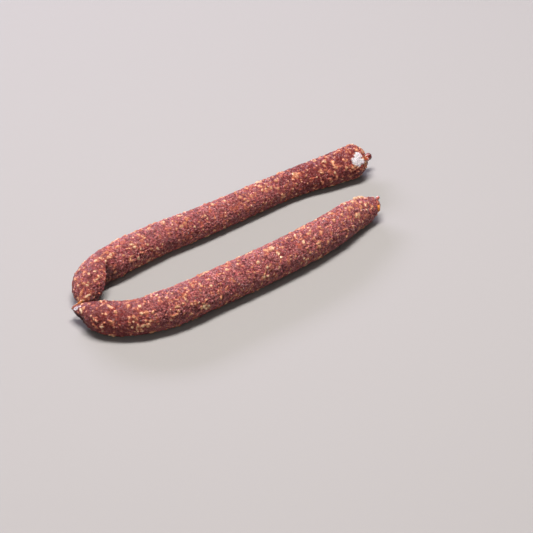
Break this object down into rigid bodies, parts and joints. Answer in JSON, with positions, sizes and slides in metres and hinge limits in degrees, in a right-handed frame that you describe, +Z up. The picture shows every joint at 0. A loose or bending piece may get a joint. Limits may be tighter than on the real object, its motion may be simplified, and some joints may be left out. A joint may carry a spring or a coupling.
{
  "type": "string of sausage links",
  "caption": "String of semi-dry sausage links lying in a V, joined by a short twist of casing, with a small dried knot at each free end.",
  "frame": {"origin": "middle of the string's footprint, on the surface that it rests on", "axes": "+X along the string from the twist towards the free ends, +Y from the front link towards the back link, +Z up"},
  "size_m": [0.298, 0.1615, 0.0299],
  "materials": {
    "dried_casing": "satin"
  },
  "bodies": {
    "root": {"sausage_string": "dried_casing"}
  },
  "joints": []
}
